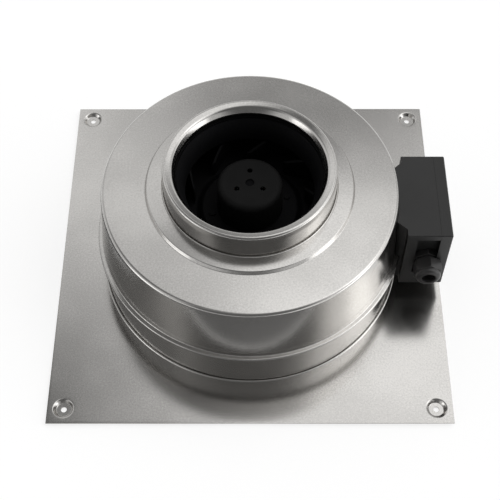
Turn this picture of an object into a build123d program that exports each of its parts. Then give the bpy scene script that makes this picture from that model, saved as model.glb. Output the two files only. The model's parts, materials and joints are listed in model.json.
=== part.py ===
from build123d import *
from math import cos, pi, radians, sin
import os

# Centrifugal wall fan for a 160 mm round duct, in millimetres.
# The origin is the centre of the wall plate, on the plane that its corner dimples rest on.
# +Z runs along the fan's axis out of the plate's front, and +X points at the terminal box.

# Wall plate
plate_side = 370.0
plate_sheet = 1.5
plate_corner_radius = 1.0
wall_hole_inset = 15.0
wall_hole_radius = 2.6
dimple_depth = 3.2
dimple_rim_radius = 9.2
dimple_floor_radius = 6.8
dimple_rim_bend = 0.4
dimple_floor_bend = 0.8
foot_bead_radius = 1.0

# Rear casing, the straight band that stands on the plate
rear_sheet = 1.2
band_radius = 142.0
foot_flange_width = 15.0
outlet_inset = 3.0
foot_bend_radius = 1.8
tight_bend_radius = 0.3

# Front casing, with the hem that folds round the rear casing's flange
front_sheet = 1.0
seam_height = 46.0
seam_overhang = 3.1
hem_play = 0.05
hem_bend_radius = 1.2
hem_edge_gap = 0.6
hem_inner_gap = 0.2
wall_foot_inset = 0.95
wall_foot_bend = 0.6
rim_inset = 6.25
rim_bend_radius = 3.5
casing_height = 109.3
annulus_rise = 0.75
collar_width = 15.25
collar_rise = 0.9
step_width = 1.8
step_height = 2.95
step_foot_bend = 0.8
step_top_bend = 1.5

# Inlet spigot
spigot_sheet = 1.0
spigot_radius = 78.75
spigot_rise = 30.0
spigot_flange_width = 12.25
spigot_foot_bend = 1.3
lip_width = 4.6
lip_fall = 0.7
lip_drop = 13.0
lip_taper = 7.35
lip_outer_bend = 1.8
lip_inner_bend = 4.5
sheet_play = 0.05
edge_gap = 0.35

# Inlet nozzle, a black moulding
nozzle_wall = 1.6
nozzle_flange_inset = 2.0
nozzle_flange_thickness = 1.8
nozzle_bell_width = 7.35
nozzle_straight = 2.0
nozzle_overlap = 3.0
nozzle_running_gap = 1.0
nozzle_stud_inset = 4.5
nozzle_stud_count = 4
nozzle_stud_radius = 2.0
nozzle_stud_end = 1.5
nozzle_nut_across_flats = 7.0
nozzle_nut_thickness = 3.2

# External-rotor motor
rotor_radius = 30.0
rotor_wall = 1.8
rotor_rise = 5.7
rotor_edge_radius = 6.0
rotor_skirt_depth = 7.5
rotor_flange_width = 11.0
rotor_hole_count = 3
rotor_hole_circle_radius = 13.65
rotor_hole_radius = 2.4
rotor_hole_start = 90.0
rotor_hub_radius = 8.0
rotor_hub_foot = 1.5
rotor_hub_slope = 2.0
shaft_radius = 4.0
shaft_chamfer = 0.4
shaft_end_gap = 1.5
shaft_face_gap = 1.2
air_gap = 0.4
cage_ring_thickness = 3.6
cage_ring_overhang = 1.0
stack_rise = 14.0
stack_height = 16.0
stator_slot_count = 12
stator_slot_width = 3.0
stator_slot_depth = 6.5
stator_slot_mouth = 1.2
stator_tooth_tip = 1.0
winding_height = 5.5
winding_inner_gap = 3.0
winding_outer_gap = 1.5
winding_bend_radius = 2.0
bearing_width = 7.0
bearing_outer_radius = 11.0
bearing_distance = 28.0
race_depth = 1.17
ball_radius = 1.95
ball_count = 7
ball_play = 0.07
ball_cage_thickness = 0.9
ball_cage_inset = 0.9
press_play = 0.03
tube_wall = 2.0
tube_end_gap = 0.4
stack_seat_width = 2.5
motor_flange_radius = 26.0
motor_flange_thickness = 4.0
motor_flange_round = 1.0
washer_thickness = 0.6
washer_inset = 0.2
clip_thickness = 0.8
clip_radius = 6.0
clip_groove_depth = 0.5
clip_groove_play = 0.1
clip_opening = 3.0

# Impeller wheel
wheel_radius = 95.0
wheel_drop = 35.0
wheel_bore_play = 0.4
backplate_thickness = 2.0
hub_rise = 5.7
hub_shoulder_gap = 3.3
hub_slope = 4.7
hub_foot_bend = 4.0
hub_shoulder_bend = 3.0
blade_count = 9
blade_thickness = 1.8
blade_foot_gap = 3.0
blade_tip_inset = 0.4
blade_inlet_angle = 28.0
blade_outlet_angle = 38.0
blade_root = 0.5
blade_top_slope = 9.0
shroud_thickness = 1.8
shroud_play = 0.2
shroud_edge_height = 22.5
shroud_slope = 5.5
shroud_neck_height = 33.5
shroud_bend_radius = 6.0
wheel_rivet_count = 6
wheel_rivet_start = 15.0
wheel_rivet_gap = 6.0
wheel_rivet_radius = 1.8
wheel_rivet_head_radius = 3.24
wheel_rivet_head_height = 1.2
wheel_rivet_tail_height = 1.0

# Motor bracket
bracket_sheet = 2.0
bracket_drop = 48.0
bracket_disc_radius = 36.0
bracket_bore_radius = 12.0
arm_count = 4
arm_width = 24.0
arm_lip_depth = 6.0
arm_bend_radius = 4.0
foot_length = 12.0
foot_end_gap = 1.3
motor_screw_circle_radius = 19.5
motor_screw_radius = 2.0
motor_screw_head_radius = 4.0
motor_screw_head_height = 2.4
motor_screw_end_gap = 1.0

# Rivets in the plate
rivet_radius = 2.0
rivet_head_radius = 3.8
rivet_head_height = 1.1
rivet_tail_radius = 3.0
rivet_tail_height = 1.0
bracket_rivet_inset = 5.0

# Motor lead and what holds it
lead_radius = 2.75
lead_play = 0.12
lead_bends = (900.0, 900.0, 7.0)
clip_strap = 1.0
clip_strap_width = 8.0
clip_places = (52.0, 108.0)
clip_foot = 6.5
clip_foot_margin = 3.0
clip_screw_radius = 1.2
clip_screw_head_radius = 2.4
clip_screw_head_height = 1.3
clip_screw_end = 2.0
grommet_neck_radius = 6.8
grommet_flange_radius = 9.4
grommet_flange_thickness = 1.5
grommet_inner_length = 2.6
grommet_lip_length = 2.0

# Terminal box
box_gap = 0.7
box_wall = 2.5
box_back_wall = 4.0
box_base_depth = 30.3
box_half_width = 45.7
box_bottom = 15.0
box_height = 80.0
box_corner_radius = 1.2
lid_depth = 10.5
lid_wall = 1.25
lid_top = 2.5
lid_play = 0.15
lid_edge = 0.8
gasket_thickness = 0.9
pocket_depth = 7.7
pocket_play = 0.8
pocket_foot_play = 1.1
pocket_head_room = 7.0
pad_half_width = 28.0
pad_spread = 10.0
pad_reach = 4.0
pad_gap = 0.3
lid_screw_side_inset = 14.7
lid_screw_inset = 6.8
lid_boss_radius = 3.6
lid_boss_gap = 0.4
lid_screw_radius = 1.5
lid_screw_play = 0.2
lid_screw_length = 12.0
lid_screw_end_gap = 2.0
lid_screw_head_radius = 3.0
lid_screw_head_height = 1.5
box_screw_half_spacing = 18.0
box_screw_low_inset = 12.3
box_screw_high_inset = 15.7
box_screw_radius = 2.0
box_screw_length = 14.0
box_screw_head_radius = 3.7
box_screw_head_height = 2.4

# Cable gland, M20 size, pointing to -Y
gland_across_flats = 24.0
gland_inset = 22.6
gland_rise = 35.0
gland_thread_radius = 10.0
gland_thread_depth = 0.6
gland_bore_radius = 7.2
gland_collar = 6.0
gland_collar_turn = 30.0
gland_inner_thread = 9.5
gland_nut_start = 8.2
gland_nut_hex = 11.6
gland_nut_turn = 25.0
gland_nut_floor = 1.5
gland_dome = 5.0
gland_dome_radius = 11.6
gland_dome_round = 3.5
gland_dome_wall = 2.5
gland_edge_length = 1.2
gland_edge_depth = 0.8
gland_mouth_radius = 6.6
gland_seat_radius = 7.8
gland_seal_wall = 1.7
gland_seal_bore = 5.9
locknut_thickness = 5.0

# Electrical parts in the box
capacitor_radius = 13.0
capacitor_length = 43.0
capacitor_edge = 1.5
capacitor_side_gap = 1.7
capacitor_back_gap = 1.4
capacitor_rise = 16.8
capacitor_blade = (0.8, 6.4, 7.0)
capacitor_blade_spacing = 8.0
capacitor_clip_height = 12.0
capacitor_clip_foot = 14.0
capacitor_clip_reach = 6.0
capacitor_clip_sheet = 1.0
block_size_x = 14.0
block_size_y = 18.0
block_edge = 1.0
block_pole_pitch = 9.0
block_poles = 3
block_rise = 5.5
block_screw_radius = 1.9
block_screw_length = 4.0
block_screw_depth = 0.8
block_well_play = 0.4
block_wire_radius = 1.6
block_wire_depth = 8.0
block_slot_width = 0.7
block_slot_depth = 0.8
lead_drop_depth = 8.0

# Plan radii and levels above the resting plane, which follow from the sizes above
full_turn = 360.0
wall_hole_spacing = plate_side - 2 * wall_hole_inset
plate_bottom = dimple_depth
plate_top = plate_bottom + plate_sheet
outlet_radius = band_radius - foot_flange_width - outlet_inset
seam_top = plate_top + seam_height
seam_depth = 2 * front_sheet + rear_sheet + 2 * hem_play
seam_bottom = seam_top - seam_depth
seam_radius = band_radius + seam_overhang
rear_flange_bottom = seam_bottom + front_sheet + hem_play
wall_foot_radius = band_radius - wall_foot_inset
rim_radius = band_radius - rim_inset
rim_top = plate_top + casing_height
step_top_radius = spigot_radius + collar_width
step_foot_radius = step_top_radius + step_width
step_foot = rim_top + annulus_rise
step_top = step_foot + step_height
crest = rim_top + spigot_rise
spigot_flange_radius = spigot_radius + spigot_flange_width
lip_corner_radius = spigot_radius - lip_width
lip_edge_radius = lip_corner_radius - lip_taper
nozzle_flange_radius = spigot_flange_radius - nozzle_flange_inset
nozzle_stud_circle_radius = nozzle_flange_radius - nozzle_stud_inset
nozzle_mouth_radius = lip_edge_radius - edge_gap
nozzle_throat_radius = nozzle_mouth_radius - nozzle_bell_width
nozzle_mouth = crest - lip_drop - edge_gap
wheel_top = rim_top - wheel_drop
hub_top = wheel_top + hub_rise
hub_under = hub_top - backplate_thickness
shroud_neck_top = wheel_top + shroud_neck_height
nozzle_end = shroud_neck_top - nozzle_overlap
rotor_face = rim_top + rotor_rise
rotor_skirt = hub_under - rotor_skirt_depth
rotor_flange_radius = rotor_radius + rotor_flange_width
wheel_rivet_circle_radius = rotor_radius + wheel_rivet_gap
hub_shoulder_radius = rotor_flange_radius + hub_shoulder_gap
hub_foot_radius = hub_shoulder_radius + hub_slope
blade_inner_radius = hub_foot_radius + blade_foot_gap
bracket_top = rim_top - bracket_drop
bracket_bottom = bracket_top - bracket_sheet
foot_end_radius = band_radius - rear_sheet - foot_end_gap
leg_radius = foot_end_radius - foot_length
plate_rivet_circle_radius = foot_end_radius - foot_length / 2
stack_bottom = bracket_top + stack_rise
stack_top = stack_bottom + stack_height
motor_flange_top = bracket_top + motor_flange_thickness
bearing_shoulder = motor_flange_top - clip_groove_depth
lower_bearing = bearing_shoulder + washer_thickness + press_play
upper_bearing = lower_bearing + bearing_distance
bearing_levels = (lower_bearing, upper_bearing)
race_centre_radius = (shaft_radius + bearing_outer_radius) / 2
inner_race_radius = race_centre_radius - race_depth
outer_race_radius = race_centre_radius + race_depth
tube_inner_radius = bearing_outer_radius + press_play
tube_outer_radius = tube_inner_radius + tube_wall
stack_inner_radius = tube_outer_radius + press_play
stack_outer_radius = rotor_radius - rotor_wall - press_play - cage_ring_thickness - air_gap
lead_level = bracket_top + lead_radius + lead_play
lead_bore = lead_radius + lead_play
box_back = band_radius + box_gap
box_inside = box_back + box_back_wall
box_lid_seam = box_back + box_base_depth
box_front = box_lid_seam + lid_depth
box_low = plate_top + box_bottom
box_high = box_low + box_height
box_rim = box_front - lid_top - gasket_thickness - 2 * sheet_play
gland_x = box_back + gland_inset
gland_level = box_low + gland_rise
gland_corner_radius = gland_across_flats / 2 / cos(pi / 6)
gland_nut_face = gland_nut_start + gland_nut_hex
gland_end = gland_nut_face + gland_dome
gland_seal_start = gland_nut_start + gland_nut_hex / 2 + gland_nut_floor
pocket_floor = -box_half_width + pocket_depth
pocket_left = gland_x - gland_across_flats / 2 - pocket_play
pocket_low = gland_level - gland_corner_radius - pocket_foot_play
pocket_high = box_high - pocket_head_room
lid_screw_half_spacing = box_half_width - lid_screw_side_inset
capacitor_x = box_inside + capacitor_radius + capacitor_back_gap
capacitor_y = box_half_width - box_wall - capacitor_radius - capacitor_side_gap
capacitor_low = box_low + capacitor_rise
capacitor_high = capacitor_low + capacitor_length
block_x = (box_inside, box_inside + block_size_x)
block_z = (box_low + block_rise, box_low + block_rise + block_poles * block_pole_pitch)
lead_drop_x = box_inside + lead_drop_depth

# The lead's route along the bracket's +X arm, through the grommet and down to the terminal block
lead_points = [
    (19.0, 0.0, lead_level),
    (70.0, 0.1, lead_level),
    (box_back - 20.0, -0.1, lead_level),
    (lead_drop_x, 0.0, lead_level),
    (lead_drop_x, 0.0, block_z[1] + sheet_play),
]


def folded_sheet(points, radii, thickness):
    """A ring of bent sheet: the skin's points run so that the sheet lies to the left of it."""
    skin = Wire(FilletPolyline(*points, radius=radii).edges())
    section = Face(skin.offset_2d(thickness, side=Side.LEFT, closed=True))
    return revolve(Plane.XZ * section, Axis.Z)


def turned(*points):
    """A solid of revolution about the fan's axis from (radius, height) points."""
    return revolve(Plane.XZ * make_face(Polyline(*points, close=True)), Axis.Z)


def ring(inner, outer, low, high):
    """A plain ring about the fan's axis."""
    return turned((inner, low), (outer, low), (outer, high), (inner, high))


def rod(radius, low, high, x=0.0, y=0.0):
    """An upright cylinder."""
    return Pos(x, y, low) * Cylinder(radius, high - low, align=(Align.CENTER, Align.CENTER, Align.MIN))


def rod_x(radius, near, far, y, z):
    """A cylinder along X."""
    place = Plane(origin=(near, y, z), x_dir=(0, 1, 0), z_dir=(1, 0, 0))
    return place * Cylinder(radius, far - near, align=(Align.CENTER, Align.CENTER, Align.MIN))


def block(x, y, z):
    """A block between two limits on each axis."""
    middle = Pos((x[0] + x[1]) / 2, (y[0] + y[1]) / 2, (z[0] + z[1]) / 2)
    return middle * Box(x[1] - x[0], y[1] - y[0], z[1] - z[0])


def around(shape, count, start=0.0):
    """Copies of a shape, evenly spaced about the fan's axis."""
    return [Rot(0, 0, start + full_turn * i / count) * shape for i in range(count)]


def on_circle(radius, count, start=0.0):
    """The places of evenly spaced holes."""
    angles = [radians(start + full_turn * i / count) for i in range(count)]
    return [(radius * cos(a), radius * sin(a)) for a in angles]


def collar_level(radius):
    """Height of the collar's upper face, which rises a little towards the spigot."""
    return step_top + collar_rise * (step_top_radius - radius) / collar_width


def wall_radius(height):
    """Outer radius of the casing at a height."""
    if height < seam_bottom:
        return band_radius
    share = (height - seam_top) / (rim_top - seam_top)
    return wall_foot_radius + share * (rim_radius - wall_foot_radius)


def casing_outline(gap):
    """The space that the casing takes, grown by a gap, to cut the parts that lie against it."""
    return turned(
        (0, 0),
        (band_radius + gap, 0),
        (band_radius + gap, seam_bottom - gap),
        (seam_radius + gap, seam_bottom - gap),
        (seam_radius + gap, seam_top + gap),
        (wall_foot_radius + gap, seam_top + gap),
        (rim_radius + gap, rim_top),
        (0, rim_top),
    )


def turned_places(places):
    """The same places at each of the bracket's arms."""
    found = []
    for i in range(arm_count):
        a = radians(full_turn * i / arm_count)
        found += [(x * cos(a) - y * sin(a), x * sin(a) + y * cos(a)) for x, y in places]
    return found


half_arm = full_turn / arm_count / 2
wall_holes = [(sx * wall_hole_spacing / 2, sy * wall_hole_spacing / 2) for sx in (-1, 1) for sy in (-1, 1)]
bracket_rivets = [
    (plate_rivet_circle_radius, side * (arm_width / 2 - bracket_rivet_inset)) for side in (-1, 1)
]
rivet_places = turned_places(bracket_rivets)
casing_rivet_places = on_circle(plate_rivet_circle_radius, arm_count, half_arm)
rivet_hole_radius = rivet_radius + sheet_play
motor_screw_places = on_circle(motor_screw_circle_radius, arm_count, half_arm)
nozzle_stud_places = on_circle(
    nozzle_stud_circle_radius, nozzle_stud_count, full_turn / nozzle_stud_count / 2
)
wheel_rivet_places = on_circle(wheel_rivet_circle_radius, wheel_rivet_count, wheel_rivet_start)
clip_screw_places = [(place, side * clip_foot) for place in clip_places for side in (-1, 1)]
box_screw_places = [
    (side * box_screw_half_spacing, level)
    for side in (-1, 1) for level in (box_low + box_screw_low_inset, box_high - box_screw_high_inset)
]
lid_screw_places = [
    (side * lid_screw_half_spacing, level)
    for side in (-1, 1) for level in (box_low + lid_screw_inset, box_high - lid_screw_inset)
]
gland_place = Plane(origin=(gland_x, pocket_floor, gland_level), x_dir=(1, 0, 0), z_dir=(0, -1, 0))


def wall_plate():
    """Square sheet with four pressed dimples, the outlet opening and a locating bead."""
    sheet = block((-plate_side / 2, plate_side / 2), (-plate_side / 2, plate_side / 2), (plate_bottom, plate_top))
    sheet = fillet(sheet.edges().filter_by(Axis.Z), plate_corner_radius)
    sheet -= rod(outlet_radius, 0, plate_top + 1)
    bead = Pos(band_radius + sheet_play + foot_bead_radius, plate_top) * Circle(foot_bead_radius)
    bead = bead & Pos(band_radius, plate_top) * Rectangle(
        4 * foot_bead_radius, 2 * foot_bead_radius, align=(Align.CENTER, Align.MIN)
    )
    sheet += revolve(Plane.XZ * bead, Axis.Z)
    cup_edge = dimple_rim_radius + plate_sheet
    cup = folded_sheet(
        [
            (cup_edge, plate_top),
            (dimple_rim_radius, plate_top),
            (dimple_floor_radius, plate_top - dimple_depth),
            (wall_hole_radius, plate_top - dimple_depth),
        ],
        [plate_sheet + dimple_rim_bend, dimple_floor_bend],
        plate_sheet,
    )
    for x, y in wall_holes:
        sheet = sheet - rod(cup_edge, 0, plate_top + 1, x, y) + Pos(x, y, 0) * cup
    for x, y in rivet_places + casing_rivet_places:
        sheet -= rod(rivet_hole_radius, 0, plate_top + 1, x, y)
    return sheet


def rear_casing():
    """Straight band with a foot flange turned in and a seam flange turned out."""
    band = folded_sheet(
        [
            (band_radius - foot_flange_width, plate_top),
            (band_radius, plate_top),
            (band_radius, rear_flange_bottom),
            (seam_radius - front_sheet - hem_inner_gap, rear_flange_bottom),
        ],
        [foot_bend_radius, tight_bend_radius],
        rear_sheet,
    )
    for x, y in rivet_places + casing_rivet_places:
        band -= rod(rivet_hole_radius, plate_bottom, plate_top + 2 * rear_sheet, x, y)
    for y, z in box_screw_places:
        band -= rod_x(box_screw_radius + lead_play, 0, box_back, y, z)
    return band


def front_casing():
    """Drawn shell: hem round the seam flange, sloping wall, flat annulus and raised collar."""
    hole = spigot_radius + spigot_foot_bend
    shell = folded_sheet(
        [
            (band_radius + hem_edge_gap, seam_bottom),
            (seam_radius, seam_bottom),
            (seam_radius, seam_top),
            (wall_foot_radius, seam_top),
            (rim_radius, rim_top),
            (step_foot_radius, step_foot),
            (step_top_radius, step_top),
            (hole, collar_level(hole)),
        ],
        [hem_bend_radius, hem_bend_radius, wall_foot_bend, rim_bend_radius, step_foot_bend, step_top_bend],
        front_sheet,
    )
    for y, z in box_screw_places:
        shell -= rod_x(box_screw_radius + lead_play, 0, box_back, y, z)
    return shell - rod_x(grommet_neck_radius + lead_play, 0, box_back, 0, lead_level)


def inlet_spigot():
    """Duct spigot with a foot flange under the collar and a crowned lip rolled inwards."""
    under = front_sheet + sheet_play
    return folded_sheet(
        [
            (spigot_flange_radius, collar_level(spigot_flange_radius) - under),
            (spigot_radius, collar_level(spigot_radius) - under),
            (spigot_radius, crest),
            (lip_corner_radius, crest - lip_fall),
            (lip_edge_radius, crest - lip_drop),
        ],
        [spigot_foot_bend, lip_outer_bend, lip_inner_bend],
        spigot_sheet,
    )


def nozzle_flange_level(radius):
    """Upper face of the nozzle's flange, under the spigot's flange."""
    return collar_level(radius) - front_sheet - spigot_sheet - 2 * sheet_play


def inlet_nozzle():
    """Moulded bell that leads the air into the wheel, with the flange that carries it."""
    throat = (nozzle_throat_radius, nozzle_end + nozzle_straight)
    bell = TangentArc(throat, (nozzle_mouth_radius, nozzle_mouth), tangent=(0, 1))
    skin = Wire([Line((nozzle_throat_radius, nozzle_end), throat), bell])
    section = make_face(skin.offset_2d(nozzle_wall, side=Side.RIGHT, closed=True).edges())
    inner = nozzle_throat_radius + nozzle_wall / 2
    outer = nozzle_flange_radius
    section += make_face(
        Polyline(
            (inner, nozzle_flange_level(inner) - nozzle_flange_thickness),
            (outer, nozzle_flange_level(outer) - nozzle_flange_thickness),
            (outer, nozzle_flange_level(outer)),
            (inner, nozzle_flange_level(inner)),
            close=True,
        )
    )
    nozzle = revolve(Plane.XZ * section, Axis.Z)
    for x, y in nozzle_stud_places:
        nozzle -= rod(nozzle_stud_radius + sheet_play, nozzle_end, crest, x, y)
    return nozzle


def nozzle_studs():
    """Clinched studs under the spigot's flange."""
    top = nozzle_flange_level(nozzle_stud_circle_radius + nozzle_stud_radius)
    length = nozzle_flange_thickness + nozzle_nut_thickness + nozzle_stud_end
    return [rod(nozzle_stud_radius, top - length, top, x, y) for x, y in nozzle_stud_places]


def nozzle_nuts():
    """Nuts that hold the nozzle's flange up against the spigot's flange."""
    top = nozzle_flange_level(nozzle_stud_circle_radius + nozzle_nut_across_flats / 2) - nozzle_flange_thickness
    nuts = []
    for x, y in nozzle_stud_places:
        outline = RegularPolygon(nozzle_nut_across_flats / 2, 6, major_radius=False)
        outline -= Circle(nozzle_stud_radius + sheet_play)
        nuts.append(Pos(x, y, top - sheet_play - nozzle_nut_thickness) * extrude(outline, nozzle_nut_thickness))
    return nuts


def shroud_skin():
    """Upper face of the shroud, from its neck to its outer edge."""
    neck = nozzle_throat_radius + nozzle_wall + nozzle_running_gap + shroud_thickness
    edge = wheel_top + shroud_edge_height
    return [(neck, shroud_neck_top), (neck, edge + shroud_slope), (wheel_radius, edge)]


def impeller_shroud():
    """Curved front ring of the wheel, whose neck runs round the nozzle's end."""
    return folded_sheet(shroud_skin()[::-1], [shroud_bend_radius], shroud_thickness)


def blade_band():
    """One blade in plan: an arc of even thickness that leans back from the wheel's turn."""
    r1 = blade_inner_radius
    r2 = wheel_radius - blade_tip_inset
    b1 = radians(blade_inlet_angle)
    b2 = radians(blade_outlet_angle)
    arc_radius = (r2 ** 2 - r1 ** 2) / (2 * (r2 * cos(b2) - r1 * cos(b1)))
    centre_distance = (r1 ** 2 + arc_radius ** 2 - 2 * r1 * arc_radius * cos(b1)) ** 0.5
    outer_disc = Pos(centre_distance, 0) * Circle(arc_radius + blade_thickness / 2)
    inner_disc = Pos(centre_distance, 0) * Circle(arc_radius - blade_thickness / 2)
    half = Rectangle(2 * wheel_radius, wheel_radius, align=(Align.CENTER, Align.MIN))
    return (outer_disc - inner_disc) & (Circle(r2) - Circle(r1)) & half


def impeller_wheel():
    """Moulded wheel: backplate, raised hub round the rotor and backward-curved blades."""
    wheel = folded_sheet(
        [
            (wheel_radius, wheel_top),
            (hub_foot_radius, wheel_top),
            (hub_shoulder_radius, hub_top),
            (rotor_radius + wheel_bore_play, hub_top),
        ],
        [hub_foot_bend, hub_shoulder_bend],
        backplate_thickness,
    )
    neck, bend, edge = shroud_skin()
    gap = shroud_thickness + shroud_play
    root = wheel_top - blade_root
    inner = blade_inner_radius - 1
    channel = turned(
        (inner, root),
        (wheel_radius, root),
        (wheel_radius, edge[1] - gap),
        (bend[0] - gap + shroud_bend_radius, bend[1] - gap - shroud_bend_radius / 4),
        (bend[0] - gap - blade_root, bend[1] - gap + blade_root),
        (inner, bend[1] - gap - blade_top_slope),
    )
    blade = Pos(0, 0, root) * extrude(blade_band(), shroud_neck_height)
    for copy in around(blade & channel, blade_count):
        wheel += copy
    for x, y in wheel_rivet_places:
        wheel -= rod(wheel_rivet_radius + sheet_play, wheel_top, hub_top + 1, x, y)
    return wheel


def wheel_rivets():
    """Rivets through the wheel's hub and the rotor's flange."""
    head_top = hub_top + wheel_rivet_head_height
    seat = hub_under - rotor_wall
    rivets = []
    for x, y in wheel_rivet_places:
        rivet = rod(wheel_rivet_radius, seat - wheel_rivet_tail_height, head_top, x, y)
        rivet += rod(wheel_rivet_head_radius, hub_top, head_top, x, y)
        rivets.append(rivet + rod(wheel_rivet_head_radius, seat - wheel_rivet_tail_height, seat, x, y))
    return rivets


def rotor_can():
    """Drawn cup with a rounded edge, a wheel flange, a hub for the shaft and cooling holes."""
    outer = rod(rotor_radius, rotor_skirt, rotor_face)
    outer = fillet(outer.edges().sort_by(Axis.Z)[-1], rotor_edge_radius)
    inner = rod(rotor_radius - rotor_wall, rotor_skirt - 1, rotor_face - rotor_wall)
    inner = fillet(inner.edges().sort_by(Axis.Z)[-1], rotor_edge_radius - rotor_wall)
    can = outer - inner
    can += ring(rotor_radius - rotor_wall / 2, rotor_flange_radius, hub_under - rotor_wall, hub_under)
    seat = upper_bearing + bearing_width + press_play
    can += turned(
        (shaft_radius, seat),
        (inner_race_radius, seat),
        (inner_race_radius, seat + rotor_hub_foot),
        (rotor_hub_radius, seat + rotor_hub_foot + rotor_hub_slope),
        (rotor_hub_radius, rotor_face - rotor_wall / 2),
        (shaft_radius, rotor_face - rotor_wall / 2),
    )
    can -= rod(shaft_radius + press_play, rotor_skirt, rotor_face + 1)
    for x, y in on_circle(rotor_hole_circle_radius, rotor_hole_count, rotor_hole_start):
        can -= rod(rotor_hole_radius, rotor_face - 2 * rotor_wall, rotor_face + 1, x, y)
    for x, y in wheel_rivet_places:
        can -= rod(wheel_rivet_radius + sheet_play, rotor_skirt, hub_top, x, y)
    return can


def rotor_ring():
    """Short-circuit ring and lamination of the rotor, inside the can."""
    outer = rotor_radius - rotor_wall - press_play
    low = stack_bottom - cage_ring_overhang
    return ring(outer - cage_ring_thickness, outer, low, stack_top + cage_ring_overhang)


def motor_shaft():
    """Shaft, pressed into the rotor's hub, with the groove for its circlip."""
    shaft = rod(shaft_radius, bracket_top + shaft_end_gap, rotor_face - shaft_face_gap)
    shaft = chamfer(shaft.edges(), shaft_chamfer)
    top = lower_bearing - press_play
    return shaft - ring(
        shaft_radius - clip_groove_depth, shaft_radius + 1, top - clip_thickness - clip_groove_play, top
    )


def circlip():
    """Open clip in the shaft's groove, under the lower bearing."""
    top = lower_bearing - 2 * press_play
    clip = ring(shaft_radius - clip_groove_depth + clip_groove_play, clip_radius, top - clip_thickness, top)
    opening = (-clip_opening / 2, clip_opening / 2)
    return clip - block((shaft_radius / 2, 2 * clip_radius), opening, (top - 2 * clip_thickness, top + 1))


def groove(level):
    """The ring-shaped space that a bearing's balls run in."""
    section = Pos(race_centre_radius, level + bearing_width / 2) * Circle(ball_radius + ball_play)
    return revolve(Plane.XZ * section, Axis.Z)


def bearing_inner_rings():
    """Rings that are pressed on the shaft."""
    return [
        ring(shaft_radius + press_play, inner_race_radius, z, z + bearing_width) - groove(z)
        for z in bearing_levels
    ]


def bearing_outer_rings():
    """Rings that are held in the stator's tube."""
    return [
        ring(outer_race_radius, bearing_outer_radius, z, z + bearing_width) - groove(z)
        for z in bearing_levels
    ]


def bearing_balls():
    """The balls of both bearings."""
    balls = []
    for z in bearing_levels:
        for x, y in on_circle(race_centre_radius, ball_count):
            balls.append(Pos(x, y, z + bearing_width / 2) * Sphere(ball_radius))
    return balls


def bearing_cages():
    """Rings that keep the balls apart."""
    half = ball_cage_thickness / 2
    cages = []
    for z in bearing_levels:
        low = z + ball_cage_inset
        high = z + bearing_width - ball_cage_inset
        cage = ring(race_centre_radius - half, race_centre_radius + half, low, high)
        window = rod_x(ball_radius + ball_play, 0, bearing_outer_radius, 0, z + bearing_width / 2)
        for copy in around(window, ball_count):
            cage -= copy
        cages.append(cage)
    return cages


def preload_washer():
    """Washer that the lower bearing's outer ring stands on."""
    inner = outer_race_radius + washer_inset
    return ring(inner, bearing_outer_radius - washer_inset, bearing_shoulder, bearing_shoulder + washer_thickness)


def stator_flange():
    """Die-cast flange with the tube that holds both bearings and carries the stack."""
    tube_top = upper_bearing + bearing_width + tube_end_gap
    flange = rod(motor_flange_radius, bracket_top, motor_flange_top)
    flange = fillet(flange.edges().sort_by(Axis.Z)[-1], motor_flange_round)
    flange += rod(tube_outer_radius, bracket_top, tube_top)
    flange += ring(
        tube_outer_radius - tube_wall / 2, tube_outer_radius + stack_seat_width, bearing_shoulder, stack_bottom
    )
    flange -= rod(tube_inner_radius, bearing_shoulder, tube_top + 1)
    flange -= rod(clip_radius + shaft_end_gap, 0, tube_top)
    slot = block(
        (motor_flange_radius / 2, motor_flange_radius + 1),
        (-lead_bore, lead_bore),
        (lead_level, motor_flange_top + 1),
    )
    slot += rod_x(lead_bore, motor_flange_radius / 2, motor_flange_radius + 1, 0, lead_level)
    flange -= slot - rod(tube_outer_radius + 1, 0, tube_top)
    for x, y in motor_screw_places:
        flange -= rod(motor_screw_radius + sheet_play, 0, bearing_shoulder, x, y)
    return flange


def stator_core():
    """Lamination stack with its winding slots."""
    core = ring(stack_inner_radius, stack_outer_radius, stack_bottom, stack_top)
    height = (stack_bottom - 1, stack_top + 1)
    slot = block(
        (stack_outer_radius - stator_slot_depth, stack_outer_radius - stator_tooth_tip),
        (-stator_slot_width / 2, stator_slot_width / 2),
        height,
    )
    slot += block(
        (stack_outer_radius - 2 * stator_tooth_tip, stack_outer_radius + 1),
        (-stator_slot_mouth / 2, stator_slot_mouth / 2),
        height,
    )
    for copy in around(slot, stator_slot_count):
        core -= copy
    return core


def stator_windings():
    """Wound ends above and below the stack."""
    inner = stack_inner_radius + winding_inner_gap
    outer = stack_outer_radius - winding_outer_gap
    ends = []
    for low in (stack_top, stack_bottom - winding_height):
        section = Pos((inner + outer) / 2, low + winding_height / 2) * RectangleRounded(
            outer - inner, winding_height, winding_bend_radius
        )
        ends.append(revolve(Plane.XZ * section, Axis.Z))
    return ends


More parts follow.
